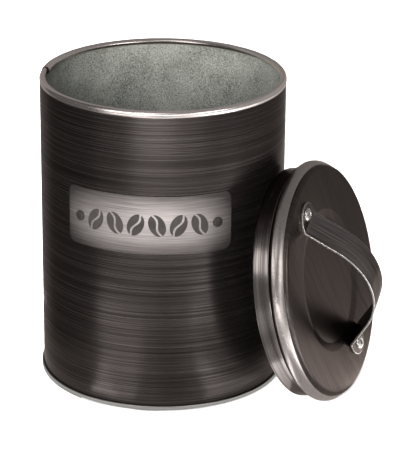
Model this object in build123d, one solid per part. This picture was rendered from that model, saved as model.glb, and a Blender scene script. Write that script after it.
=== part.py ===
from build123d import *
import math
import os

# Coffee tin with its lid off: the lid stands on its edge beside the tin and leans on the wall.
# +Z is up, the origin is the centre of the tin's foot and -Y is the side with the nameplate.

# Driving dimensions, in millimetres and degrees
SHEET = 0.3                # tinplate thickness
TIN_R = 54.8               # outside of the rolled wall
TIN_H = 140.0              # foot to the top of the rim curl

CURL_R = 1.5               # outside radius of the rim curl's tube
CURL_PROUD = 0.2           # how far the curl stands outside the wall
SIDE_SEAM_AZ = 178.0       # direction of the side seam, from +X
SEAM_GAP_DEG = 0.7         # opening between the two ends of the curl
SEAM_PINCH_DEG = 5.5       # stretch of the curl that is pinched smaller beside the seam
SEAM_LAP_W = 5.0           # width of the lap inside the wall

FOOT_SEAM_H = 2.8          # height of the double seam at the foot
FLOOR_Z = 3.15             # middle of the floor sheet above the table
FLOOR_STEP = 0.85          # depth of the floor's pressed ring

PLATE_SPAN_DEG = 80.4      # angle that the nameplate takes round the tin
PLATE_T = 0.4
PLATE_Z = 88.5             # height of the plate's middle line
PLATE_H = 27.0
PLATE_CORNER_R = 4.0
PLATE_RIVET_DEG = 32.8     # each side of the plate's middle
PLATE_RIVET_HEAD_R = 2.25
PLATE_RIVET_HEAD_H = 1.3
PLATE_RIVET_SHANK_R = 1.2
PLATE_RIVET_TAIL_R = 1.8

LID_R = 53.75              # largest radius of the lid's bead, level with the lid's own origin
LID_BEAD_UNDER_R = 1.55    # outside round under the bead's widest line
LID_PANEL_H = 6.1          # top of the shoulder above the bead's widest line
LID_DISH_DEG = 4.4         # slope of the dished panel towards its middle
LID_RECESS_R = 30.0        # middle of the soft step round the recess
LID_RECESS_DEPTH = 1.0
COLLAR_R = 51.1            # outside of the collar, a loose fit in the tin's mouth
COLLAR_NECK_R = 50.3       # outside of the collar's neck under the bead
COLLAR_END_H = -10.6

LID_LEAN_DEG = 12.3        # the lid's face tips back this far from upright
LID_FACING_AZ = -16.2      # direction of the lid's outward normal, from +X
LID_BEARING_AZ = -15.05    # direction of the lid's centre from the tin's axis
LID_GAP = 0.3              # clearance between the collar's end and the tin

STRAP_W = 14.8
STRAP_T = 1.0
STRAP_FOOT_S = 34.6        # where the feet bend up, from the middle of the lid
STRAP_LEG_DEG = 43.4
STRAP_ARCH_R = 33.0
STRAP_BEND_R = 2.5
STRAP_TURN_DEG = 113.45    # the strap's line, from the lid's own x axis
HANDLE_RIVET_S = 39.4
RIVET_HEAD_R = 3.15
RIVET_HEAD_H = 1.3
RIVET_HOLE_R = 1.1
RIVET_SHANK_R = 1.7

CLEAR = 0.05               # radial clearance of a rivet in its hole


def save(shape, node):
    """Write one node's STEP file."""
    export_step(shape, f"parts/{node}.step")


def band(points, radii, closed_on_axis=False):
    """A strip one sheet thick along a path of (radius, height) points with rounded corners."""
    path = FilletPolyline(*points, radius=radii)
    strip = make_face(path.offset_2d(SHEET / 2, kind=Kind.INTERSECTION))
    if closed_on_axis:
        half = Location((500, 0)) * Rectangle(1000, 1000)
        strip = (Sketch() + strip) & half
    return strip


def spin(section, degrees=360.0, start=0.0):
    """Turn a (radius, height) section about the Z axis."""
    turned = revolve(Plane.XZ * section, axis=Axis.Z, revolution_arc=degrees)
    return Rot(0, 0, start) * turned


def ring(r_in, r_out, z_low, z_high):
    """A plain square ring."""
    return spin(Pos((r_in + r_out) / 2, (z_low + z_high) / 2) * Rectangle(r_out - r_in, z_high - z_low))


# ---- the tin ----

def curl_section(tube_r, drop):
    """The open rim curl: a C of sheet that turns in over the mouth and under itself."""
    centre = (TIN_R + CURL_PROUD - CURL_R, TIN_H - tube_r - drop)
    tube = Circle(tube_r) - Circle(tube_r - SHEET)
    mouth_low = math.radians(-74)
    mouth_high = math.radians(-38)
    reach = 3 * tube_r
    wedge = Polyline(
        (0, 0),
        (reach * math.cos(mouth_low), reach * math.sin(mouth_low)),
        (reach * math.cos(mouth_high), reach * math.sin(mouth_high)),
        close=True,
    )
    return Pos(*centre) * (tube - make_face(wedge))


def wall_section():
    """The rolled wall from its body hook at the foot to inside the rim curl."""
    wall_mid = TIN_R - SHEET / 2
    hook_mid = TIN_R + 1.5 * SHEET
    foot = 1.5 * SHEET
    return band([(hook_mid, 2.1), (hook_mid, foot), (wall_mid, foot), (wall_mid, TIN_H - 2.1)], [0.17, 0.17])


def can_body():
    """Rolled wall with its body hook, rim curl and side seam, turned as three sectors that join."""
    wall = wall_section()
    pinch = SEAM_PINCH_DEG
    gap = SEAM_GAP_DEG
    gap_end = SIDE_SEAM_AZ + gap / 2
    body = spin(wall + curl_section(CURL_R, 0), 360 - gap - pinch, gap_end + pinch)
    body += spin(wall + curl_section(CURL_R - 0.1, 0.35), pinch, gap_end)
    body += spin(wall, gap, gap_end - gap)

    lap_low = FLOOR_Z + 1.0
    lap_high = TIN_H - 2 * CURL_R
    lap_deg = math.degrees(SEAM_LAP_W / TIN_R)
    lap_section = Pos(TIN_R - 1.5 * SHEET + 0.01, (lap_low + lap_high) / 2) * Rectangle(
        SHEET + 0.02, lap_high - lap_low
    )
    body += spin(lap_section, lap_deg, SIDE_SEAM_AZ - lap_deg / 2)

    groove_low = FOOT_SEAM_H + 0.5
    groove = Pos(TIN_R, 0, (groove_low + lap_high) / 2) * Box(0.24, 0.3, lap_high - groove_low)
    body -= Rot(0, 0, SIDE_SEAM_AZ) * groove
    for hole in plate_rivet_places():
        body -= hole * Cylinder(PLATE_RIVET_SHANK_R + CLEAR, 8)
    return body


def can_base():
    """The floor: recessed panel, upright wall and the hooks of the double seam."""
    chuck = TIN_R - 1.5 * SHEET
    outer = TIN_R + 2.5 * SHEET
    hook = TIN_R + 0.5 * SHEET
    step = FLOOR_Z - FLOOR_STEP
    section = band(
        [
            (-5, FLOOR_Z),
            (30, FLOOR_Z),
            (31.2, step),
            (46, step),
            (47.2, FLOOR_Z),
            (chuck, FLOOR_Z),
            (chuck, SHEET / 2),
            (outer, SHEET / 2),
            (outer, FOOT_SEAM_H - SHEET / 2),
            (hook, FOOT_SEAM_H - SHEET / 2),
            (hook, 1.0),
        ],
        [0.6, 0.6, 0.6, 0.6, 0.6, 0.4, 0.4, 0.28, 0.28],
        closed_on_axis=True,
    )
    return spin(section)


def seam_compound():
    """Sealing compound in the two voids of the double seam."""
    upper = ring(TIN_R + SHEET + 0.02, TIN_R + 2 * SHEET - 0.02, 2.26, 2.36)
    lower = ring(TIN_R + 0.02, TIN_R + SHEET - 0.02, 2 * SHEET + 0.01, 0.84)
    return Compound([upper, lower])


# ---- the nameplate ----

def plate_rivet_places():
    """Where the plate's rivets go: on the wall, with local +Z pointing out of the tin."""
    places = []
    for side in (-1, 1):
        az = -90 + side * PLATE_RIVET_DEG
        places.append(Pos(0, 0, PLATE_Z) * Rot(0, 0, az) * Pos(TIN_R, 0, 0) * Rot(0, 90, 0))
    return places


def nameplate():
    """Thin curved plate with rounded corners and an eased outer edge."""
    section = Pos(TIN_R + PLATE_T / 2, PLATE_Z) * Rectangle(PLATE_T, PLATE_H)
    plate = spin(section, PLATE_SPAN_DEG, -90 - PLATE_SPAN_DEG / 2)
    corners = [e for e in plate.edges() if e.geom_type == GeomType.LINE and e.length < PLATE_T * 1.5]
    plate = fillet(corners, PLATE_CORNER_R)
    for hole in plate_rivet_places():
        plate -= hole * Cylinder(PLATE_RIVET_SHANK_R + CLEAR, 8)
    return plate


def plate_rivet():
    """Solid rivet with a domed head outside and an upset tail inside; z = 0 is the wall's outer face."""
    head = PLATE_RIVET_HEAD_R
    dome = PLATE_RIVET_HEAD_H
    ball = (head**2 + dome**2) / (2 * dome)
    above = Pos(0, 0, PLATE_T + 5) * Box(20, 20, 10)
    cap = Pos(0, 0, PLATE_T + dome - ball) * Sphere(ball) & above
    tail_top = -SHEET - 0.04
    shank = Pos(0, 0, (PLATE_T + tail_top) / 2) * Cylinder(PLATE_RIVET_SHANK_R, PLATE_T - tail_top)
    tail = Pos(0, 0, tail_top - 0.4) * Cylinder(PLATE_RIVET_TAIL_R, 0.8)
    tail = chamfer(tail.edges().group_by(Axis.Z)[0], 0.3)
    return cap + shank + tail


# ---- the lid, in its own frame: z = 0 is the bead's widest line, +Z points out of its top ----

def dish_height(r):
    """Height of the panel's outer face at a radius, between the recess and the shoulder."""
    return LID_PANEL_H - (49.5 - r) * math.tan(math.radians(LID_DISH_DEG))


def lid_pan():
    """Pressed top: recessed middle, dished panel, shoulder, bead and a hem under the bead."""
    half = SHEET / 2
    step_in = LID_RECESS_R - 1.9
    step_out = LID_RECESS_R + 1.9
    bead = LID_R - half
    hem = COLLAR_NECK_R + half + 0.05
    under = half - LID_BEAD_UNDER_R
    section = band(
        [
            (-5, dish_height(step_out) - LID_RECESS_DEPTH - half),
            (step_in, dish_height(step_out) - LID_RECESS_DEPTH - half),
            (step_out, dish_height(step_out) - half),
            (51.45, dish_height(51.45) - half),
            (51.5, 3.95),
            (bead, 2.5),
            (bead, under),
            (hem, under),
            (hem, 0.6),
        ],
        [3.0, 3.0, 1.7, 0.3, 4.3, LID_BEAD_UNDER_R - half, 0.3],
        closed_on_axis=True,
    )
    pan = spin(section)
    for place in handle_rivet_places():
        pan -= place * Cylinder(RIVET_SHANK_R + CLEAR, 12)
    return pan


def lid_collar():
    """Collar that plugs the mouth: rolled safe edge, plain wall, neck, and a flange held in the bead."""
    half = SHEET / 2
    wall = COLLAR_R - half
    neck = COLLAR_NECK_R - half
    end = COLLAR_END_H + half
    section = band(
        [
            (wall - 1.1, end + 1.3),
            (wall - 1.1, end),
            (wall, end),
            (wall, -3.1),
            (neck, -2.3),
            (neck, 1.1),
            (52.4, 1.1),
        ],
        [0.5, 0.5, 0.4, 0.4, 0.4],
    )
    return spin(section)


def strap_path():
    """The strap's middle line in its own upright plane, from one foot's end to the other's."""
    slope = math.radians(LID_DISH_DEG)
    leg = math.radians(STRAP_LEG_DEG)
    lift = STRAP_T / 2 + 0.07
    end_s = STRAP_FOOT_S + 9.6
    end_h = dish_height(end_s) + lift
    foot_h = dish_height(STRAP_FOOT_S) + lift
    peak_h = foot_h + STRAP_FOOT_S * math.tan(leg)
    return FilletPolyline(
        (-end_s, end_h),
        (-STRAP_FOOT_S, foot_h),
        (0, peak_h),
        (STRAP_FOOT_S, foot_h),
        (end_s, end_h),
        radius=[STRAP_BEND_R, STRAP_ARCH_R, STRAP_BEND_R],
    )


def lid_handle():
    """Strap handle: an arched flat bar with a round-ended foot each side."""
    side = make_face(strap_path().offset_2d(STRAP_T / 2, kind=Kind.INTERSECTION))
    bar = extrude(Plane.XZ * side, STRAP_W / 2, both=True)
    end_r = STRAP_W / 2
    reach = STRAP_FOOT_S + 9.6 - end_r
    plan = Rectangle(2 * reach, STRAP_W) + Pos(reach, 0) * Circle(end_r) + Pos(-reach, 0) * Circle(end_r)
    bar &= extrude(plan, 60, both=True)
    bar = Rot(0, 0, STRAP_TURN_DEG) * bar
    for place in handle_rivet_places():
        bar -= place * Cylinder(RIVET_SHANK_R + CLEAR, 12)
    return bar


def handle_rivet_places():
    """Where the handle's rivets go: on the panel, square to its slope."""
    places = []
    for turn in (0, 180):
        along = Rot(0, 0, STRAP_TURN_DEG + turn)
        at = Pos(HANDLE_RIVET_S, 0, dish_height(HANDLE_RIVET_S))
        places.append(along * at * Rot(0, -LID_DISH_DEG, 0))
    return places


def handle_rivet():
    """Blind rivet sleeve: domed flange, hollow shank and the bulb that forms behind the panel."""
    seat = STRAP_T + 0.08
    head = RIVET_HEAD_R
    hole = RIVET_HOLE_R
    shank = RIVET_SHANK_R
    back = -SHEET - 0.1
    outline = make_face(
        Line((hole, seat + RIVET_HEAD_H), (hole, back - 2.4))
        + Line((hole, back - 2.4), (shank, back - 2.4))
        + Line((shank, back - 2.4), (shank, back - 2.1))
        + ThreePointArc((shank, back - 2.1), (shank + 0.9, back - 1.0), (shank, back))
        + Line((shank, back), (shank, seat))
        + Line((shank, seat), (head, seat))
        + ThreePointArc((head, seat), (0.8 * head, seat + 0.72 * RIVET_HEAD_H), (hole, seat + RIVET_HEAD_H))
    )
    return spin(outline)


def rivet_mandrel():
    """What stays of the pulled mandrel: a short stem in the sleeve and its head behind the bulb."""
    back = -SHEET - 0.1
    stem_r = RIVET_HOLE_R - 0.02
    stem_top = STRAP_T - 0.2
    head_top = back - 2.4
    stem = Pos(0, 0, (stem_top + head_top) / 2) * Cylinder(stem_r, stem_top - head_top)
    head = Pos(0, 0, head_top - 0.4) * Cylinder(1.5, 0.8)
    return stem + head


def lid_place():
    """The lid's pose beside the tin: bead on the table, collar's end against the wall."""
    lean = math.radians(LID_LEAN_DEG)
    facing = math.radians(LID_FACING_AZ)
    bearing = math.radians(LID_BEARING_AZ)
    normal = Vector(
        math.cos(lean) * math.cos(facing),
        math.cos(lean) * math.sin(facing),
        math.sin(lean),
    )
    across = Vector(-math.sin(facing), math.cos(facing), 0)
    centre_z = (LID_R - LID_BEAD_UNDER_R) * math.cos(lean) + LID_BEAD_UNDER_R
    upper = math.cos(lean) * COLLAR_R
    reach = TIN_R + CURL_PROUD + LID_GAP + math.sin(lean) * upper - COLLAR_END_H * math.cos(lean)
    return Plane(
        origin=(reach * math.cos(bearing), reach * math.sin(bearing), centre_z),
        x_dir=across,
        z_dir=normal,
    )


def main():
    """Build every node and write it."""
    os.makedirs("parts", exist_ok=True)
    save(can_body(), "can_body")
    save(can_base(), "can_base")
    save(seam_compound(), "seam_compound")
    save(nameplate(), "nameplate")
    for place, side in zip(plate_rivet_places(), ("left", "right")):
        save(place * plate_rivet(), f"nameplate_rivet_{side}")

    lid = lid_place().location
    save(lid * lid_pan(), "lid_pan")
    save(lid * lid_collar(), "lid_collar")
    save(lid * lid_handle(), "lid_handle")
    for place, side in zip(handle_rivet_places(), ("upper", "lower")):
        save(lid * place * handle_rivet(), f"handle_rivet_{side}")
        save(lid * place * rivet_mandrel(), f"rivet_mandrel_{side}")


main()
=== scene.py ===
"""Looks for the coffee tin: detailed sheet-metal pieces, procedural brushed metal, camera and studio."""

import math

import bmesh
import bpy
from mathutils import Matrix, Vector


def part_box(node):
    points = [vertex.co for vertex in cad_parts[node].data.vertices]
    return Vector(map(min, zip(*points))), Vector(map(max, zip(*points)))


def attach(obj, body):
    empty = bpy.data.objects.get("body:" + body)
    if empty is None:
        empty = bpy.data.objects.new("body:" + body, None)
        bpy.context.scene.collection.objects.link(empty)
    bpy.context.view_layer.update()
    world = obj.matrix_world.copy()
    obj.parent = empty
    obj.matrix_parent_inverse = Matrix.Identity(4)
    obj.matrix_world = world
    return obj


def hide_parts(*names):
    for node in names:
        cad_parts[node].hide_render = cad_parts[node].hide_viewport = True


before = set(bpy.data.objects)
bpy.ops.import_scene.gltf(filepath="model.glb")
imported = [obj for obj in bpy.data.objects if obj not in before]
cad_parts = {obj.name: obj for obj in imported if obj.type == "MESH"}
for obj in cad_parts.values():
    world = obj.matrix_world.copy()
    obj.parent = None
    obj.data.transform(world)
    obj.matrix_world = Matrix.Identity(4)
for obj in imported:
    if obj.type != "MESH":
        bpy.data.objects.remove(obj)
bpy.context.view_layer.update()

# ---------------------------------------------------------------- sizes in metres, and places
MM = 0.001
SHEET = 0.3 * MM             # thickness of the tinplate
HALF = SHEET / 2

TIN_R = 54.8 * MM            # outside of the wall
TIN_H = 140 * MM
CURL_R = 1.5 * MM            # rim curl's tube
CURL_PROUD = 0.2 * MM        # how far the curl stands out from the wall
CURL_SWEEP = math.radians(286)      # how far round the curl goes
CURL_POINTS = 37             # points along it
CURL_FLARE = 19              # degrees over which the curl's outer end stands open
CURL_PINCH = 20              # degrees over which its inner end is squeezed to go under that
SIDE_SEAM = math.radians(178)       # bearing of the sheet's outer end
LAP = math.radians(5.2)      # how far the sheet's inner end runs on behind the outer one
LAP_BLEND = 1.4              # degrees in which the inner end steps in behind the outer one
FOOT_SEAM_H = 2.8 * MM
FLOOR_Z = 3.15 * MM

PLATE_LOW, PLATE_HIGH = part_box("nameplate")
PLATE_Z = (PLATE_LOW.z + PLATE_HIGH.z) / 2
PLATE_HALF_H = (PLATE_HIGH.z - PLATE_LOW.z) / 2
PLATE_T = 0.4 * MM
PLATE_TURN = math.radians(80.4)     # how much of the wall the plate covers
PLATE_RIVET_TURN = math.radians(32.8)

LID_R = 53.75 * MM           # bead's widest line, at height 0 in the lid's own frame
LID_UNDER_R = 1.55 * MM      # roundness of the bead's underside
LID_FLAT_R = 28.1 * MM       # flat middle of the panel
LID_DISH_R = 31.9 * MM       # where the recess meets the dished panel
LID_RECESS = 1 * MM
LID_RIM_R = 49.5 * MM        # where the panel's outer face is LID_RIM_H high
LID_RIM_H = 6.1 * MM
LID_SHOULDER_R = 51.5 * MM
LID_DISH = math.radians(4.4)        # slope of the dished panel
LID_LEAN = math.radians(12.3)       # how far its face is tipped back
LID_FACING = math.radians(-16.2)    # bearing that its face looks to
LID_BEARING = math.radians(-15.05)  # bearing of its centre from the tin
LID_GAP = 0.3 * MM           # between the collar's end and the tin
COLLAR_R = 51.1 * MM
COLLAR_NECK_R = 50.3 * MM
COLLAR_END = -10.6 * MM

STRAP_TURN = math.radians(113.45)   # the strap's direction in the lid's frame
STRAP_W = 14.8 * MM
STRAP_T = 1.0 * MM
STRAP_FOOT = 34.6 * MM       # from the lid's axis to where the strap leaves the panel
STRAP_LEG = math.radians(43.4)
RIVET_S = 39.4 * MM          # from the lid's axis to each handle rivet
RIVET_BACK = -SHEET - 0.1 * MM
MANDREL_HEAD = 2.4 * MM      # depth of the mandrel's head behind the panel

ROUND = 360                  # segments round the tin and the lid
END_POINTS = 5               # points on the rounded end of a sheet
ON_AXIS = 1e-7               # a radius under this is on the axis
SHARP = math.radians(38)     # edges that turn more than this are shaded as edges


def lid_frame():
    """The lid's own frame in the row frame: +Z out of its top, height 0 at the bead's widest line."""
    normal = Vector((
        math.cos(LID_LEAN) * math.cos(LID_FACING),
        math.cos(LID_LEAN) * math.sin(LID_FACING),
        math.sin(LID_LEAN),
    ))
    across = Vector((-math.sin(LID_FACING), math.cos(LID_FACING), 0))
    turn = Matrix((across, normal.cross(across), normal)).transposed()
    back = math.sin(LID_LEAN) * math.cos(LID_LEAN) * COLLAR_R - COLLAR_END * math.cos(LID_LEAN)
    reach = TIN_R + CURL_PROUD + LID_GAP + back
    height = (LID_R - LID_UNDER_R) * math.cos(LID_LEAN) + LID_UNDER_R
    centre = Vector((reach * math.cos(LID_BEARING), reach * math.sin(LID_BEARING), height))
    return Matrix.Translation(centre) @ turn.to_4x4()


LID = lid_frame()


# ---------------------------------------------------------------- mesh helpers
def rounded(points, radii, step=math.radians(8)):
    """A 2-D path whose inner corners are arcs of the given radii."""
    path = [Vector(points[0])]
    for before, corner, after, radius in zip(points, points[1:], points[2:], radii):
        corner = Vector(corner)
        into = (corner - Vector(before)).normalized()
        out = (Vector(after) - corner).normalized()
        turn = math.atan2(into.cross(out), into.dot(out))
        start = corner - into * (radius * math.tan(abs(turn) / 2))
        side = Vector((-into.y, into.x)) * math.copysign(radius, turn)
        count = max(2, math.ceil(abs(turn) / step))
        for i in range(count + 1):
            spoke = -side
            spoke.rotate(Matrix.Rotation(turn * i / count, 2))
            path.append(start + side + spoke)
    path.append(Vector(points[-1]))
    return path


def sides(path, half):
    """The two lines half a thickness to the left and to the right of a path."""
    left, right = [], []
    last = len(path) - 1
    for i, point in enumerate(path):
        into = (point - path[i - 1]).normalized() if i else (path[1] - point).normalized()
        out = (path[i + 1] - point).normalized() if i < last else into
        along = (into + out).normalized()
        across = Vector((-along.y, along.x)) * (half / max(0.5, along.dot(into)))
        left.append(point + across)
        right.append(point - across)
    return left, right


def round_end(centre, spoke):
    """The points of a strip's rounded end, from the side that the spoke points to round to the other."""
    points = []
    for i in range(1, END_POINTS + 1):
        turned = spoke.copy()
        turned.rotate(Matrix.Rotation(-math.pi * i / (END_POINTS + 1), 2))
        points.append(centre + turned)
    return points


def strip(path, half):
    """The outline of a strip along a path: up its left side, round the end and back down its right side."""
    left, right = sides(path, half)
    outline = left + round_end(path[-1], left[-1] - path[-1]) + right[::-1]
    if path[0].x > ON_AXIS:
        outline += round_end(path[0], right[0] - path[0])
    return outline


def eased(t):
    """From 0 to 1 with a soft start and a soft stop."""
    t = min(1.0, max(0.0, t))
    return t * t * (3 - 2 * t)


def finished(bm, name, place=Matrix.Identity(4)):
    """Turn a bmesh into a smooth-shaded object in the row frame that remembers its local coordinates."""
    bmesh.ops.remove_doubles(bm, verts=bm.verts, dist=1e-7)
    bmesh.ops.recalc_face_normals(bm, faces=bm.faces)
    if "local" not in bm.verts.layers.float_vector:
        local = bm.verts.layers.float_vector.new("local")
        for vert in bm.verts:
            vert[local] = vert.co
    bm.transform(place)
    mesh = bpy.data.meshes.new(name)
    bm.to_mesh(mesh)
    bm.free()
    mesh.shade_smooth()
    mesh.set_sharp_from_angle(angle=SHARP)
    piece = bpy.data.objects.new(name, mesh)
    bpy.context.scene.collection.objects.link(piece)
    return piece


def skin(bm, one, two, closed=True, material=0):
    """Quads between two equally long rows of vertices; a row of one vertex is a point."""
    count = max(len(one), len(two))
    for i in range(count if closed else count - 1):
        j = (i + 1) % count
        corners = []
        for row, k in ((one, i), (one, j), (two, j), (two, i)):
            vert = row[k if len(row) > 1 else 0]
            if vert not in corners:
                corners.append(vert)
        if len(corners) > 2:
            bm.faces.new(corners).material_index = material


def lathe(name, outline, place=Matrix.Identity(4), segments=ROUND, second=None):
    """Turn an outline of (radius, height) points about Z. It closes on itself, or on the axis.
    second(point) says from which points on the piece has its second finish."""
    bm = bmesh.new()
    rows = []
    for r, z in outline:
        if r < ON_AXIS:
            rows.append([bm.verts.new((0, 0, z))])
            continue
        ring = []
        for i in range(segments):
            angle = 2 * math.pi * i / segments
            ring.append(bm.verts.new((r * math.cos(angle), r * math.sin(angle), z)))
        rows.append(ring)
    follows = rows[1:] if len(rows[0]) == 1 else rows[1:] + rows[:1]
    for point, one, two in zip(outline, rows, follows):
        skin(bm, one, two, material=1 if second and second(point) else 0)
    return finished(bm, name, place)


def bent_plate(name, half_long, half_wide, corner, layers, columns, bend, place=Matrix.Identity(4)):
    """A plate with rounded corners. layers are (inset, height) from its lower face to its upper face, and
    bend(along, across, height) says where a point of the flat plate goes."""
    bm = bmesh.new()
    local = bm.verts.layers.float_vector.new("local")
    brush = bm.verts.layers.float_vector.new("brush")
    quarter = [math.radians(90 - 6 * i) for i in range(16)]
    straight = half_long - corner
    rows = []
    for inset, height in layers:
        ends = []
        for turn in quarter:
            across = half_wide - corner + (corner - inset) * math.cos(turn)
            ends.append((straight + (corner - inset) * math.sin(turn), across))
        middle = []
        for i in range(1, columns):
            middle.append((straight * (2 * i / columns - 1), half_wide - inset))
        upper = [(-s, w) for s, w in ends] + middle + ends[::-1]
        loop = upper + [(s, -w) for s, w in reversed(upper)]
        row = []
        for s, w in loop:
            vert = bm.verts.new(bend(s, w, height))
            vert[local] = (s, w, height)
            ahead = bend(s + 0.5 * MM, w, height) - bend(s - 0.5 * MM, w, height)
            vert[brush] = place.to_3x3() @ ahead.normalized()
            row.append(vert)
        rows.append(row)
    for one, two in zip(rows, rows[1:]):
        skin(bm, one, two, material=1)
    for row in (rows[0], rows[-1]):
        half = len(row) // 2
        for i in range(half - 1):
            bm.faces.new((row[i], row[i + 1], row[-2 - i], row[-1 - i]))
    return finished(bm, name, place)


# ---------------------------------------------------------------- the tin
def curl_size(turn):
    """Tube radius of the rim curl, how far its top is below the rim, and its outer edge beyond the wall.
    turn is how far round from the seam, from the outer end of the sheet to the inner one."""
    degrees = math.degrees(turn)
    flare = max(0.0, 1 - degrees / CURL_FLARE)
    pinch = eased((degrees - 360) / CURL_PINCH + 1)
    ripple = 0.03 * math.sin(6.5 * degrees) * min(1.0, 3 * flare)
    tube = CURL_R + (0.25 * flare - 0.27 * pinch + ripple) * MM
    drop = 0.3 * pinch * MM
    proud = CURL_PROUD + (0.08 * flare - 0.24 * pinch) * MM
    return tube, drop, proud


def wall_path(turn):
    """Middle line of the wall's sheet at one station: body hook, wall and rim curl."""
    tube, drop, proud = curl_size(min(turn, 2 * math.pi))
    tuck = 0.34 * MM * eased((math.degrees(turn) - 360) / LAP_BLEND + 1)
    wall = TIN_R - HALF - tuck
    hook = TIN_R + 1.5 * SHEET
    foot = 1.5 * SHEET
    if turn > 2 * math.pi:
        # behind the seam there is no hook: the lap starts above the floor
        start = FLOOR_Z + 1 * MM
        low = [Vector((wall, start + 0.01 * MM * i)) for i in range(len(hook_path(hook, foot, wall)))]
    else:
        low = hook_path(hook, foot, wall)
    middle = Vector((TIN_R + proud - tube, TIN_H - drop - tube))
    arc = tube - HALF
    meets = -math.acos(min(0.97, (wall - middle.x) / arc))
    curl = []
    for i in range(CURL_POINTS):
        angle = meets + (CURL_SWEEP - meets) * i / (CURL_POINTS - 1)
        curl.append(middle + arc * Vector((math.cos(angle), math.sin(angle))))
    neck = Vector((wall, curl[0].y - 0.6 * MM))
    return low + [neck] + curl


def hook_path(hook, foot, wall):
    """The body hook in the double seam, up to the wall."""
    hook_top, wall_start, bend = 2.1 * MM, 4 * MM, 0.17 * MM
    points = [(hook, hook_top), (hook, foot), (wall, foot), (wall, wall_start)]
    return rounded(points, [bend, bend])


def make_wall():
    """The sheet is rolled round once, with a lap at the side seam where its inner end is tucked behind."""
    bm = bmesh.new()
    # stations are close together where the curl changes shape, and a degree apart elsewhere
    turns = [math.radians(0.2 * i) for i in range(105)]
    turns += [math.radians(i) for i in range(21, 339)]
    turns += [math.radians(339 + 0.4 * i) for i in range(49)]
    turns += [math.radians(360 - LAP_BLEND * (1 - i / 14)) for i in range(15)]
    turns += [2 * math.pi + LAP * (0.02 + 0.98 * i / 6) for i in range(7)]
    rows = []
    for turn in turns:
        angle = SIDE_SEAM - turn
        path = wall_path(turn)
        outline = strip(path, HALF)
        rows.append([bm.verts.new((p.x * math.cos(angle), p.x * math.sin(angle), p.y)) for p in outline])
    curled = len(wall_path(0)) - CURL_POINTS
    count = len(rows[0])
    for one, two in zip(rows, rows[1:]):
        for i in range(count):
            j = (i + 1) % count
            face = bm.faces.new((one[i], one[j], two[j], two[i]))
            # the outline goes up the inside, round the curl, and back down the outside
            if i < curled - 1:
                face.material_index = 1
            elif i < count - END_POINTS - curled:
                face.material_index = 2
    for row in (rows[0], rows[-1]):
        bm.faces.new(row)
    return finished(bm, "tin_wall")


def make_base():
    """The floor and its chuck wall, in one sheet with the cover hook of the double seam."""
    chuck = TIN_R - 1.5 * SHEET
    outer = TIN_R + 2.5 * SHEET
    hook = TIN_R + 0.5 * SHEET
    # a ring pressed down into the floor, with sloping sides
    ring_inner, ring_outer = 30 * MM, 47.2 * MM
    ring_z, slope = FLOOR_Z - 0.85 * MM, 1.2 * MM
    points = [
        (0, FLOOR_Z),
        (ring_inner, FLOOR_Z),
        (ring_inner + slope, ring_z),
        (ring_outer - slope, ring_z),
        (ring_outer, FLOOR_Z),
        (chuck, FLOOR_Z),
        (chuck, HALF),
        (outer, HALF),
        (outer, FOOT_SEAM_H - HALF),
        (hook, FOOT_SEAM_H - HALF),
        (hook, 1 * MM),
    ]
    radii = [r * MM for r in (0.6, 0.6, 0.6, 0.6, 0.6, 0.4, 0.4, 0.28, 0.28)]
    return lathe("tin_floor", strip(rounded(points, radii), HALF), second=lambda p: p.x < chuck)


def on_wall(along, across, height):
    """A point of a flat plate laid round the front of the tin."""
    angle = math.radians(-90) + along / TIN_R
    r = TIN_R + height
    return Vector((r * math.cos(angle), r * math.sin(angle), PLATE_Z + across))


def make_nameplate():
    """A thin plate with softened edges, bent to the wall."""
    layers = [(0, 0), (0, 0.2 * MM), (0.05 * MM, 0.3 * MM), (0.16 * MM, 0.37 * MM), (0.32 * MM, PLATE_T)]
    half_long = PLATE_TURN / 2 * TIN_R
    return bent_plate("name_plate", half_long, PLATE_HALF_H, 4 * MM, layers, 160, on_wall)


def half_bean_rows(side, stations=32):
    """(height, inner edge, outer edge) across one half of a bean, from its lower tip to its upper one."""
    long, wide = 5.2 * MM, 3.55 * MM
    crease, sway = 0.45 * MM, 0.85 * MM
    rows = []
    for i in range(stations + 1):
        y = -math.cos(math.pi * i / stations)
        bulge = wide * math.sqrt(max(0.0, 1 - y * y))
        fold = sway * math.sin(math.pi * y) * (1 - 0.2 * y * y)
        inner = fold + side * crease
        outer = side * max(bulge, side * inner)
        rows.append((y * long, inner, outer))
    return rows


def add_half_bean(bm, middle, tilt, side, columns=4):
    """A thin closed layer of print on the plate."""
    layers = []
    for height in (PLATE_T - 0.01 * MM, PLATE_T + 0.03 * MM):
        layer = []
        for y, inner, outer in half_bean_rows(side):
            line = []
            for k in range(columns + 1):
                x = inner + (outer - inner) * k / columns
                u = x * math.cos(tilt) - y * math.sin(tilt)
                v = x * math.sin(tilt) + y * math.cos(tilt)
                line.append(bm.verts.new(on_wall(middle + u, v, height)))
            layer.append(line)
        layers.append(layer)
    for layer in layers:
        for one, two in zip(layer, layer[1:]):
            skin(bm, one, two, closed=False)
    for k in (0, -1):
        skin(bm, [row[k] for row in layers[0]], [row[k] for row in layers[1]], closed=False)


def make_beans():
    """A row of printed coffee beans across the plate, each in two halves with a curved crease between."""
    bm = bmesh.new()
    count, pitch, tilt = 6, 9.3 * MM, math.radians(24)
    for bean in range(count):
        middle = (bean - (count - 1) / 2) * pitch
        for side in (-1, 1):
            add_half_bean(bm, middle, tilt if bean % 2 else -tilt, side)
    bmesh.ops.dissolve_degenerate(bm, dist=1e-6, edges=bm.edges)
    return finished(bm, "plate_beans")


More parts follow.
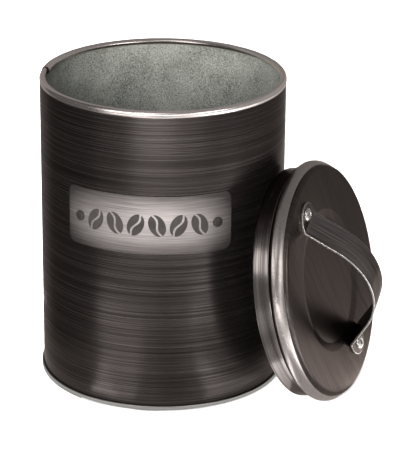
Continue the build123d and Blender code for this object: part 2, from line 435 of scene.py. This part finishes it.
def make_plate_rivet(side):
    """A domed rivet through the plate and the wall, with its tail inside the tin."""
    head, dome = 2.25 * MM, 1.3 * MM
    shank, tail = 1.2 * MM, 1.8 * MM
    tail_top = -SHEET - 0.04 * MM
    tail_end = tail_top - 0.8 * MM
    outline = [Vector((0, PLATE_T + dome))]
    for i in range(1, 13):
        turn = math.radians(90 * i / 12)
        outline.append(Vector((head * math.sin(turn) ** 0.9, PLATE_T + dome * math.cos(turn) ** 0.8)))
    outline += [
        Vector((head, PLATE_T)),
        Vector((shank, PLATE_T)),
        Vector((shank, tail_top)),
        Vector((tail, tail_top)),
        Vector((tail, tail_end + 0.3 * MM)),
        Vector((tail - 0.3 * MM, tail_end)),
        Vector((0, tail_end)),
    ]
    turn = math.radians(-90) + (PLATE_RIVET_TURN if side == "right" else -PLATE_RIVET_TURN)
    place = (
        Matrix.Translation((TIN_R * math.cos(turn), TIN_R * math.sin(turn), PLATE_Z))
        @ Matrix.Rotation(turn, 4, "Z")
        @ Matrix.Rotation(math.radians(90), 4, "Y")
    )
    return lathe(f"plate_rivet_{side}", outline, place, 64)


# ---------------------------------------------------------------- the lid, in its own frame
def dish(r):
    """Height of the panel's outer face at a radius."""
    return LID_RIM_H - (LID_RIM_R - r) * math.tan(LID_DISH)


def make_lid_top():
    """One sheet from the recess over the dished panel, the shoulder and the bead to the hem under it."""
    low = dish(LID_DISH_R) - LID_RECESS - HALF
    edge = LID_SHOULDER_R - 0.05 * MM
    shoulder_h, bead_h = 3.95 * MM, 2.5 * MM
    bead = LID_R - HALF
    hem = COLLAR_NECK_R + HALF + 0.05 * MM
    under = HALF - LID_UNDER_R
    points = [
        (0, low),
        (LID_FLAT_R, low),
        (LID_DISH_R, dish(LID_DISH_R) - HALF),
        (edge, dish(edge) - HALF),
        (LID_SHOULDER_R, shoulder_h),
        (bead, bead_h),
        (bead, under),
        (hem, under),
        (hem, 0.6 * MM),
    ]
    radii = [r * MM for r in (3, 3, 1.7, 0.3, 4.3, 1.4, 0.3)]

    # painted shade: the bead's underside, below its widest line, keeps the panel's dark coat
    def bead_above_painted_shade(point):
        return point.x > LID_SHOULDER_R - 0.2 * MM and -0.3 * MM < point.y < shoulder_h + 0.05 * MM

    return lathe("lid_top", strip(rounded(points, radii), HALF), LID, second=bead_above_painted_shade)


def make_lid_collar():
    """The plug ring under the lid, with a rolled free edge and a flange inside the bead."""
    wall = COLLAR_R - HALF
    neck = COLLAR_NECK_R - HALF
    end = COLLAR_END + HALF
    hem, hem_h = wall - 1.1 * MM, 1.3 * MM
    neck_low = -3.1 * MM
    flange, flange_h = 52.4 * MM, 1.1 * MM
    points = [
        (hem, end + hem_h),
        (hem, end),
        (wall, end),
        (wall, neck_low),
        (neck, neck_low + 0.8 * MM),
        (neck, flange_h),
        (flange, flange_h),
    ]
    radii = [r * MM for r in (0.5, 0.5, 0.4, 0.4, 0.4)]

    # painted shade: the neck behind the bead takes the panel's dark coat
    def neck_in_painted_shade(point):
        return point.y > neck_low + 0.1 * MM

    return lathe("lid_neck", strip(rounded(points, radii), HALF), LID, second=neck_in_painted_shade)


def strap_bend():
    """The strap's middle line as a function: (along, across, height) of the flat strap to the lid's frame."""
    lift = STRAP_T / 2 + 0.07 * MM
    end_s = STRAP_FOOT + 9.6 * MM
    foot_h = dish(STRAP_FOOT) + lift
    peak_h = foot_h + STRAP_FOOT * math.tan(STRAP_LEG)
    foot_bend, crown_bend = 2.5 * MM, 33 * MM
    points = [
        (-end_s, dish(end_s) + lift),
        (-STRAP_FOOT, foot_h),
        (0, peak_h),
        (STRAP_FOOT, foot_h),
        (end_s, dish(end_s) + lift),
    ]
    path = rounded(points, [foot_bend, crown_bend, foot_bend], math.radians(2))
    reach = [0.0]
    for one, two in zip(path, path[1:]):
        reach.append(reach[-1] + (two - one).length)
    half = reach[-1] / 2
    along_lid = Vector((math.cos(STRAP_TURN), math.sin(STRAP_TURN), 0))
    across_lid = Vector((-math.sin(STRAP_TURN), math.cos(STRAP_TURN), 0))

    def tangent(i):
        i = min(max(i, 1), len(path) - 2)
        return (path[i + 1] - path[i - 1]).normalized()

    def bend(along, across, height):
        at = min(max(along + half, 0), reach[-1])
        i = min(max(k for k, length in enumerate(reach) if length <= at), len(path) - 2)
        t = (at - reach[i]) / (reach[i + 1] - reach[i])
        point = path[i].lerp(path[i + 1], t)
        heading = tangent(i).lerp(tangent(i + 1), t).normalized()
        point = point + Vector((-heading.y, heading.x)) * height
        return along_lid * point.x + across_lid * across + Vector((0, 0, point.y))

    return bend, half


def make_strap():
    """The handle: a flat strap with round ends and softened edges, bent over the lid."""
    bend, half = strap_bend()
    layers = []
    edge = 0.22 * MM
    for i in range(7):
        turn = math.radians(90 * i / 6)
        layers.append((edge * (1 - math.sin(turn)), -STRAP_T / 2 + edge * (1 - math.cos(turn))))
    layers += [(inset, -height) for inset, height in reversed(layers)]
    return bent_plate("strap_handle", half, STRAP_W / 2, STRAP_W / 2, layers, 240, bend, LID)


def rivet_place(end):
    """Where a handle rivet goes, square to the panel's slope."""
    turn = STRAP_TURN + (0 if end == "upper" else math.pi)
    return (
        LID
        @ Matrix.Rotation(turn, 4, "Z")
        @ Matrix.Translation((RIVET_S, 0, dish(RIVET_S)))
        @ Matrix.Rotation(-LID_DISH, 4, "Y")
    )


def make_blind_rivet(end):
    """Domed sleeve with a rolled hole, a hollow shank and the bulb behind the panel."""
    seat = STRAP_T + 0.08 * MM
    head, hole, shank = 3.15 * MM, 1.1 * MM, 1.7 * MM
    back = RIVET_BACK
    shank_end = back - MANDREL_HEAD
    top = 1.3 * MM
    lip = hole + 0.3 * MM
    outline = [
        Vector((hole, seat + 0.55 * top)),
        Vector((hole + 0.05 * MM, seat + 0.85 * top)),
        Vector((hole + 0.22 * MM, seat + 0.98 * top)),
    ]
    for i in range(1, 15):
        turn = math.radians(90 * i / 14)
        r = lip + (head - lip) * math.sin(turn)
        outline.append(Vector((r, seat + top * math.cos(turn) ** 0.9)))
    outline += [
        Vector((head, seat)),
        Vector((shank, seat)),
        Vector((shank, back)),
        Vector((shank + 0.65 * MM, back - 0.4 * MM)),
        Vector((shank + 0.9 * MM, back - 1.0 * MM)),
        Vector((shank + 0.6 * MM, back - 1.7 * MM)),
        Vector((shank, back - 2.1 * MM)),
        Vector((shank, shank_end)),
        Vector((hole, shank_end)),
    ]
    return lathe(f"blind_rivet_{end}", outline, rivet_place(end), 64)


def make_mandrel(end):
    """The stem left in a blind rivet, broken off below its dome, with its head behind the sleeve."""
    stem, head = 1.08 * MM, 1.5 * MM
    top = STRAP_T - 0.2 * MM
    head_top = RIVET_BACK - MANDREL_HEAD
    head_end = head_top - 0.8 * MM
    outline = [
        Vector((0, top - 0.25 * MM)),
        Vector((0.5 * MM, top - 0.1 * MM)),
        Vector((stem - 0.1 * MM, top)),
        Vector((stem, top - 0.1 * MM)),
        Vector((stem, head_top)),
        Vector((head - 0.1 * MM, head_top)),
        Vector((head, head_top - 0.1 * MM)),
        Vector((head, head_end + 0.1 * MM)),
        Vector((head - 0.2 * MM, head_end)),
        Vector((0, head_end)),
    ]
    return lathe(f"mandrel_{end}", outline, rivet_place(end), 48)


# ---------------------------------------------------------------- materials
class Shader:
    """A node material under construction. Keyword inputs may be numbers, colours or other sockets."""

    def __init__(self, name):
        self.material = bpy.data.materials.new(name)
        self.material.use_nodes = True
        self.tree = self.material.node_tree
        self.surface = self.tree.nodes["Principled BSDF"]
        self.local = self.add("ShaderNodeAttribute", attribute_name="local").outputs["Vector"]

    def feed(self, socket, value):
        if isinstance(value, bpy.types.NodeSocket):
            self.tree.links.new(value, socket)
        else:
            socket.default_value = value

    def add(self, kind, values=(), **settings):
        node = self.tree.nodes.new(kind)
        for key, value in settings.items():
            setattr(node, key, value)
        for key, value in dict(values).items():
            self.feed(node.inputs[key], value)
        return node

    def math(self, operation, *values):
        node = self.add("ShaderNodeMath", operation=operation)
        for socket, value in zip(node.inputs, values):
            self.feed(socket, value)
        return node.outputs[0]

    def scaled(self, scale, turn=0.0, shift=(0, 0, 0)):
        """The piece's own coordinates turned about Z, then scaled along each axis."""
        source = self.local
        if turn:
            values = {"Vector": source, "Angle": turn}
            source = self.add("ShaderNodeVectorRotate", values, rotation_type="Z_AXIS").outputs[0]
        node = self.add("ShaderNodeMapping", {"Vector": source, "Scale": scale, "Location": shift})
        return node.outputs[0]

    def coordinate(self, axis):
        """One of the piece's own coordinates."""
        return self.add("ShaderNodeSeparateXYZ", {"Vector": self.local}).outputs[axis]

    def noise(self, vector, detail=2.0, rough=0.5):
        values = {"Vector": vector, "Scale": 1.0, "Detail": detail, "Roughness": rough}
        return self.add("ShaderNodeTexNoise", values).outputs["Fac"]

    def spread(self, value, low, high, to_low=0.0, to_high=1.0):
        """The value, stretched from one range to another."""
        node = self.add("ShaderNodeMapRange", {"Value": value, "From Min": low, "From Max": high})
        node.inputs["To Min"].default_value = to_low
        node.inputs["To Max"].default_value = to_high
        return node.outputs[0]

    def ramp(self, value, *stops):
        """A colour for the value, through stops of (value, colour)."""
        node = self.add("ShaderNodeValToRGB", {"Fac": value})
        bands = node.color_ramp.elements
        while len(bands) < len(stops):
            bands.new(0.5)
        for band, (at, colour) in zip(bands, stops):
            band.position = at
            band.color = (*colour, 1)
        return node.outputs["Color"]

    def bump(self, height, distance):
        values = {"Height": height, "Distance": distance, "Strength": 1.0}
        return self.add("ShaderNodeBump", values).outputs[0]

    def set(self, **values):
        """Set or link the surface's own inputs. An underscore in a key stands for a space."""
        for key, value in values.items():
            self.feed(self.surface.inputs[key.replace("_", " ")], value)
        return self.material


def streaks(shader, fine, medium, broad):
    """Brush marks from three noises that already run along the brushing."""
    total = shader.math("MULTIPLY", fine, 0.6)
    total = shader.math("MULTIPLY_ADD", medium, 0.26, total)
    return shader.math("MULTIPLY_ADD", broad, 0.14, total)


def brushed(name, marks_of, dark, light, tangent, gloss=(0.16, 0.26), edge=0.5, metal=1.0):
    """Dark printed and brushed tinplate: the marks drive colour, roughness and a shallow relief.
    gloss is the roughness of its light and its dark marks, and edge its tint at a grazing angle."""
    shader = Shader(name)
    marks = marks_of(shader)
    colour = shader.ramp(marks, (0.38, dark), (0.62, light))
    rough = shader.spread(marks, 0.35, 0.65, gloss[1], gloss[0])
    bump = shader.bump(marks, 0.003 * MM)
    shader.set(Base_Color=colour, Metallic=metal, Roughness=rough, Anisotropic=0.3)
    shader.set(Specular_Tint=(edge, 0.92 * edge, 0.88 * edge, 1))
    return shader.set(Tangent=tangent(shader), Normal=bump)


def round_axis(shader):
    """Brushed round the tin."""
    return shader.add("ShaderNodeTangent", direction_type="RADIAL", axis="Z").outputs[0]


def lid_way(shader, x, y):
    """A direction of the lid's own plane, in world space."""
    across, up = LID.to_3x3().col[0], LID.to_3x3().col[1]
    sideways = shader.add("ShaderNodeVectorMath", {0: across, "Scale": x}, operation="SCALE")
    upward = shader.add("ShaderNodeVectorMath", {0: up, "Scale": y}, operation="SCALE")
    both = shader.add("ShaderNodeVectorMath", {0: sideways.outputs[0], 1: upward.outputs[0]}, operation="ADD")
    return both.outputs[0]


def along_strap(shader):
    """Brushed in the strap's direction all over the stamped lid."""
    return lid_way(shader, math.cos(STRAP_TURN), math.sin(STRAP_TURN))


def round_lid(shader):
    """Brushed round the lid's own axis."""
    return lid_way(shader, shader.math("MULTIPLY", shader.coordinate("Y"), -1.0), shader.coordinate("X"))


def along_piece(shader):
    """Brushed along a bent strip."""
    return shader.add("ShaderNodeAttribute", attribute_name="brush").outputs["Vector"]


def ring_marks(shader):
    """Marks that run round the axis: very slow round the tin, quick up it."""
    fine = shader.noise(shader.scaled((14, 14, 2600)), 2, 0.6)
    medium = shader.noise(shader.scaled((7, 7, 900), shift=(3, 1, 2)), 2)
    broad = shader.noise(shader.scaled((3, 3, 150), shift=(7, 5, 4)), 1)
    single = shader.noise(shader.scaled((5, 5, 1400), shift=(2, 6, 9)), 1)
    lines = shader.spread(single, 0.6, 0.7)
    return shader.math("MULTIPLY_ADD", lines, 0.2, streaks(shader, fine, medium, broad))


def length_marks(shader):
    """Marks that run along a strip's own length."""
    return linear_marks(shader, 0.0)


def linear_marks(shader, turn=-STRAP_TURN):
    """Marks that run along the strap over the stamped lid."""
    fine = shader.noise(shader.scaled((45, 2600, 300), turn), 3, 0.6)
    medium = shader.noise(shader.scaled((25, 900, 100), turn, (3, 1, 2)), 2)
    broad = shader.noise(shader.scaled((12, 180, 40), turn, (7, 5, 4)), 1)
    return streaks(shader, fine, medium, broad)


def wall_finish():
    """The outside of the wall, brushed all round."""
    dark, light = (0.02, 0.0167, 0.0157), (0.066, 0.0565, 0.0535)
    return brushed("dark_wall", ring_marks, dark, light, round_axis, (0.25, 0.33), edge=0.75, metal=0.97)


def curl_finish():
    """The rim curl, where the dark coat is thin over the bright tinplate."""
    dark, light = (0.62, 0.555, 0.53), (0.9, 0.83, 0.8)
    return brushed("thin_coat", ring_marks, dark, light, round_axis, (0.18, 0.3), edge=1.0)


def bead_finish():
    """The lid's bead: a thin coat too, with the lid's own straight brush marks."""
    dark, light = (0.36, 0.323, 0.31), (0.46, 0.424, 0.41)
    return brushed("thin_coat_lid", linear_marks, dark, light, along_strap, (0.26, 0.34), edge=1.0)


def lid_finish():
    """The panel's dark coat; it is also put on the collar's neck and the bead's underside as painted shade
    under the bead.
    """
    dark, light = (0.06, 0.0503, 0.0473), (0.1, 0.086, 0.0817)
    return brushed("dark_lid", linear_marks, dark, light, along_strap, (0.27, 0.36), edge=0.7)


def collar_finish():
    """The plug ring, brushed round its own axis."""
    dark, light = (0.04, 0.0348, 0.0333), (0.26, 0.233, 0.225)
    return brushed("dark_collar", ring_marks, dark, light, round_lid)


def strap_finish():
    """The strap's two faces, brushed along it."""
    dark, light = (0.07, 0.0625, 0.06), (0.34, 0.307, 0.297)
    return brushed("dark_strap", length_marks, dark, light, along_piece)


def inside_finish():
    """Grey-green lacquer over tinplate with a fine sparkle."""
    dark, light = (0.042, 0.0432, 0.0386), (0.195, 0.1994, 0.1784)
    shader = Shader("inside_lacquer")
    grain = shader.noise(shader.scaled((1600, 1600, 1600)), 2, 0.6)
    cloud = shader.noise(shader.scaled((60, 60, 60)), 2)
    mixed = shader.math("MULTIPLY_ADD", cloud, 0.25, shader.math("MULTIPLY", grain, 0.75))
    colour = shader.ramp(mixed, (0.36, dark), (0.64, light))
    rough = shader.spread(grain, 0.3, 0.7, 0.5, 0.36)
    bump = shader.bump(grain, 0.05 * MM)
    return shader.set(Base_Color=colour, Metallic=0.35, Roughness=rough, Normal=bump)


def bare_finish():
    """Bare tinplate of the floor and the foot seam."""
    dark, light = (0.24, 0.235, 0.225), (0.66, 0.65, 0.63)
    shader = Shader("bare_tinplate")
    marks = ring_marks(shader)
    colour = shader.ramp(marks, (0.38, dark), (0.62, light))
    rough = shader.spread(marks, 0.35, 0.65, 0.38, 0.24)
    bump = shader.bump(marks, 0.004 * MM)
    return shader.set(Base_Color=colour, Metallic=1.0, Roughness=rough, Normal=bump)


def plate_finish():
    """The nameplate: brushed steel, pale in the middle and darkened towards its edges."""
    pale, grey, dark = (0.3, 0.2745, 0.265), (0.13, 0.1155, 0.111), (0.042, 0.0365, 0.0346)
    shader = Shader("plate_steel")
    marks = length_marks(shader)

    def nearing(axis, half, power):
        """How near the edge is along one axis, from 0 in the middle to 1."""
        share = shader.math("DIVIDE", shader.coordinate(axis), half)
        return shader.math("POWER", shader.math("ABSOLUTE", share), power)

    ends = nearing("X", PLATE_TURN / 2 * TIN_R, 4)
    edges = nearing("Y", PLATE_HALF_H, 2.2)
    far = shader.math("MULTIPLY_ADD", edges, 0.75, shader.math("MULTIPLY", ends, 0.6))
    # brush marks, darker towards the plate's edges and ends
    marks_and_edge_fade = shader.math("MULTIPLY_ADD", shader.math("SUBTRACT", 0.58, marks), 1.6, far)
    colour = shader.ramp(marks_and_edge_fade, (0.0, pale), (0.5, grey), (1.0, dark))
    rough = shader.spread(marks, 0.35, 0.65, 0.5, 0.34)
    bump = shader.bump(marks, 0.005 * MM)
    shader.set(Base_Color=colour, Metallic=0.85, Roughness=rough, Anisotropic=0.3)
    return shader.set(Tangent=round_axis(shader), Normal=bump)


def print_finish():
    """Dark print on the plate."""
    dark, light = (0.008, 0.0068, 0.0065), (0.018, 0.0154, 0.0148)
    shader = Shader("plate_print")
    marks = length_marks(shader)
    colour = shader.ramp(marks, (0.3, dark), (0.7, light))
    rough = shader.spread(marks, 0.3, 0.7, 0.5, 0.4)
    return shader.set(Base_Color=colour, Metallic=0.0, Roughness=rough, Specular_IOR_Level=0.15)


def worn_finish(name, dark, light, gloss, metallic=1.0, shine=0.5):
    """Small parts: cloudy colour with tiny scratches. gloss is as in brushed()."""
    shader = Shader(name)
    cloud = shader.noise(shader.scaled((900, 900, 900)), 4, 0.6)
    colour = shader.ramp(cloud, (0.35, dark), (0.65, light))
    rough = shader.spread(cloud, 0.35, 0.65, gloss[1], gloss[0])
    bump = shader.bump(cloud, 0.01 * MM)
    shader.set(Specular_IOR_Level=shine)
    return shader.set(Base_Color=colour, Metallic=metallic, Roughness=rough, Normal=bump)


# ---------------------------------------------------------------- studio
# places of the cards' shared edges, in millimetres
CARD_LEFT = -88
CARD_OUTER = -125
CARD_FRONT = -150
CARD_BACK = 62
CARD_TOP = 320


def make_floor():
    """A pale plain floor."""
    bm = bmesh.new()
    reach = 3.0
    square = ((-reach, -reach), (reach, -reach), (reach, reach), (-reach, reach))
    corners = [bm.verts.new((x, y, 0)) for x, y in square]
    bm.faces.new(corners)
    floor = finished(bm, "studio_floor")
    shader = Shader("studio_floor")
    tone = shader.noise(shader.scaled((3, 3, 3)), 1)
    colour = shader.ramp(tone, (0.3, (0.86, 0.86, 0.86)), (0.7, (0.88, 0.88, 0.88)))
    floor.data.materials.append(shader.set(Base_Color=colour, Roughness=0.9, Specular_IOR_Level=0.0))


def add_light(name, where, aim, size, power):
    """A soft light on the lacquer, the plate and the floor that does not show in the metal. Its place, aim
    and size are in metres."""
    lamp = bpy.data.lights.new(name, "AREA")
    lamp.shape = "RECTANGLE"
    lamp.size = size
    lamp.size_y = size
    lamp.energy = power
    light = bpy.data.objects.new(name, lamp)
    light.location = where
    direction = Vector(aim) - Vector(where)
    light.rotation_euler = direction.to_track_quat("-Z", "Y").to_euler()
    light.visible_glossy = False
    bpy.context.scene.collection.objects.link(light)


def add_card(name, corners, low_glow, high_glow=None):
    """A studio card that only shows in reflections. Its brightness runs from the floor to its top, and its
    corners are in millimetres."""
    bm = bmesh.new()
    bm.faces.new([bm.verts.new([value * MM for value in corner]) for corner in corners])
    card = finished(bm, name)
    shader = Shader(name)
    top = max(MM, max(corner[2] for corner in corners) * MM)
    high_glow = low_glow if high_glow is None else high_glow
    glow = shader.spread(shader.coordinate("Z"), 0, top, low_glow, high_glow)
    shader.set(Base_Color=(0, 0, 0, 1), Roughness=1.0, Specular_IOR_Level=0.0)
    shader.set(Emission_Color=(1.0, 0.975, 0.96, 1), Emission_Strength=glow)
    card.data.materials.append(shader.material)
    card.visible_camera = False
    card.visible_diffuse = False
    card.visible_shadow = False


def standing(x0, y0, x1, y1, top, low=0):
    """Corners of an upright card between two places."""
    return [(x0, y0, low), (x1, y1, low), (x1, y1, top), (x0, y0, top)]


def lying(points, height=0.5):
    """Corners of a card that lies just above the floor."""
    return [(x, y, height) for x, y in points]


def rectangle(x0, y0, x1, y1):
    """Corners of a card with square corners, for lying()."""
    return [(x0, y0), (x1, y0), (x1, y1), (x0, y1)]


def circle(radius, points=96):
    """Corners of a round card about the tin's axis, for lying()."""
    turns = [2 * math.pi * i / points for i in range(points)]
    return [(radius * math.cos(turn), radius * math.sin(turn)) for turn in turns]


def sloping(x0, x1, low, high):
    """Corners of a card across the front of the studio. low and high are the (y, z) of its long edges."""
    return [(x0, *low), (x1, *low), (x1, *high), (x0, *high)]


def add_ground_cards():
    """What the lower part of the wall and the foot mirror: the floor, in lighter and darker patches. The
    lid's shadow and the shade round the tin's foot are painted shade, as dim cards.
    """
    left_ground = [(-30, -46), (-66, -88), (CARD_LEFT, -94), (CARD_LEFT, 60), (-30, 60)]
    front_ground = [(CARD_OUTER, -106), (-66, -88), (-8, -56), (-20, CARD_FRONT), (CARD_OUTER, CARD_FRONT)]
    front_middle = [(-8, -56), (38, -56), (86, CARD_FRONT), (-20, CARD_FRONT)]
    middle = [(7, -62), (28, -62), (60, -330), (24, -330)]
    lid_shadow = [(62, -120), (112, -130), (112, -20), (62, -5)]
    add_card("left_ground_card", lying(left_ground, 0.6), 0.42)
    add_card("front_ground_card", lying(front_ground, 0.7), 1.9)
    add_card("front_middle_card", lying(front_middle), 0.75)
    add_card("middle_card", lying(middle, 0.8), 0.5)
    add_card("table_card", lying(rectangle(CARD_OUTER, CARD_FRONT, 300, -500)), 0.9)
    add_card("lid_shadow_card", lying(lid_shadow, 0.6), 0.6)
    add_card("right_ground_card", lying(rectangle(112, -60, 320, CARD_BACK)), 1.35)
    add_card("back_card", lying(rectangle(20, CARD_BACK, 600, 900), 0.4), 0.7)
    add_card("back_left_card", lying(rectangle(-600, CARD_BACK, 20, 900), 0.4), 0.4)
    # painted shade: a dim ring round the foot stands for the floor's contact shadow in reflections
    add_card("foot_shade_card", lying(circle(63), 0.95), 0.62)


def add_side_cards():
    """What the sides of the wall, the lid and the strap mirror."""
    add_card("left_card", standing(CARD_LEFT, -94, CARD_LEFT, 3, CARD_TOP), 0.13, 0.07)
    add_card("left_back_card", standing(CARD_LEFT, 3, CARD_LEFT, 46, CARD_TOP), 0.32, 0.3)
    add_card("front_left_card", standing(CARD_OUTER, -106, CARD_OUTER, -420, CARD_TOP), 0.45, 0.3)
    add_card("right_softbox", standing(150, -420, 300, -275, 220), 1.5, 1.2)
    add_card("right_card", standing(262, -280, 330, 60, 340), 0.3, 0.3)
    add_card("right_back_card", standing(330, 60, 130, 330, 340), 0.3, 0.3)


def add_high_cards():
    """What the rim curl, the bead and the top of the strap mirror."""
    low_edge, high_edge = (-592, 540), (-520, 700)
    left_high = [(-84, -120, 118), (-42, -295, 166), (-42, -295, 240), (-84, -120, 200)]
    add_card("front_high_card", sloping(-190, -45, low_edge, high_edge), 3.8)
    add_card("front_dim_card", sloping(-45, 150, low_edge, high_edge), 1.6)
    add_card("right_high_card", standing(190, -277, 298, -134, 275, 150), 3.0)
    add_card("left_high_card", left_high, 2.7)


def make_studio():
    make_floor()
    world = bpy.data.worlds.new("studio")
    world.use_nodes = True
    world.node_tree.nodes["Background"].inputs["Color"].default_value = (1.0, 0.98, 0.96, 1)
    world.node_tree.nodes["Background"].inputs["Strength"].default_value = 0.26
    bpy.context.scene.world = world
    bpy.context.scene.view_settings.view_transform = "Standard"
    add_light("top_softbox", (0.1, -0.1, 1.3), (0, 0, 0.05), 1.4, 50)
    add_light("front_softbox", (-0.1, -1.2, 0.42), (0, 0, 0.12), 0.5, 80)
    add_ground_cards()
    add_side_cards()
    add_high_cards()


def add_camera():
    """At the photograph's viewing angle, from far off, and swung a little to take in the lid."""
    turn, elevation = math.radians(7.4), math.radians(21.36)
    distance, aim_height = 1045.6 * MM, 67.05 * MM
    swing, roll = math.radians(-1.13), math.radians(0.16)
    data = bpy.data.cameras.new("camera")
    data.lens = 182.84
    data.sensor_width = 36
    data.clip_end = 20
    camera = bpy.data.objects.new("camera", data)
    camera.matrix_world = (
        Matrix.Translation((0, 0, aim_height))
        @ Matrix.Rotation(turn, 4, "Z")
        @ Matrix.Rotation(math.radians(90) - elevation, 4, "X")
        @ Matrix.Translation((0, 0, distance))
        @ Matrix.Rotation(swing, 4, "Y")
        @ Matrix.Rotation(roll, 4, "Z")
    )
    bpy.context.scene.collection.objects.link(camera)
    bpy.context.scene.camera = camera


# ---------------------------------------------------------------- putting it together
def dress(piece, body, slot, nodes, *finishes):
    """Give a piece its finishes, hang it on its body and hide the CAD nodes that it stands for."""
    for finish in finishes:
        piece.data.materials.append(finish)
    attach(piece, body)
    if nodes:
        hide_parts(*nodes)


def main():
    inside = inside_finish()
    # the panel's dark coat, also used as painted shade under the lid's bead
    lid_coat_and_shade = lid_finish()
    dark, light = (0.006, 0.0053, 0.005), (0.012, 0.0106, 0.01)
    dark_rivet = worn_finish("dark_rivet", dark, light, (0.2, 0.3), metallic=0.0, shine=0.07)
    bright_rivet = worn_finish("bright_rivet", (0.45, 0.43, 0.41), (0.75, 0.73, 0.7), (0.2, 0.34))
    raw_edge = worn_finish("raw_edge", (0.5, 0.48, 0.46), (0.8, 0.78, 0.75), (0.3, 0.42))
    # painted shade: the plate's rounded edges are a darker copy of its steel, so that its top edge stays dark
    shaded_plate_edge = worn_finish("shaded_plate_edge", (0.07, 0.0655, 0.063), (0.14, 0.132, 0.128), (0.3, 0.42))
    mandrel = worn_finish("mandrel_steel", (0.06, 0.055, 0.05), (0.16, 0.15, 0.14), (0.4, 0.55))

    dress(make_wall(), "tin", "dark_tin", ["can_body"], wall_finish(), inside, curl_finish())
    dress(make_base(), "tin", "bare_tinplate", ["can_base"], bare_finish(), inside)
    dress(make_nameplate(), "tin", "plate_steel", ["nameplate"], plate_finish(), shaded_plate_edge)
    dress(make_beans(), "tin", "plate_steel", [], print_finish())
    for side in ("left", "right"):
        dress(make_plate_rivet(side), "tin", "dark_rivet", [f"nameplate_rivet_{side}"], dark_rivet)
    dress(make_lid_top(), "lid", "dark_tin", ["lid_pan"], lid_coat_and_shade, bead_finish())
    dress(make_lid_collar(), "lid", "dark_tin", ["lid_collar"], collar_finish(), lid_coat_and_shade)
    dress(make_strap(), "lid", "dark_strap", ["lid_handle"], strap_finish(), raw_edge)
    for end in ("upper", "lower"):
        dress(make_blind_rivet(end), "lid", "bright_rivet", [f"handle_rivet_{end}"], bright_rivet)
        dress(make_mandrel(end), "lid", "mandrel_steel", [f"rivet_mandrel_{end}"], mandrel)

    compound = worn_finish("seam_compound", (0.1, 0.1, 0.09), (0.16, 0.16, 0.15), (0.6, 0.8), metallic=0.0)
    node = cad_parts["seam_compound"]
    node.data.materials.clear()
    node.data.materials.append(compound)

    make_studio()
    add_camera()

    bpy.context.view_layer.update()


main()
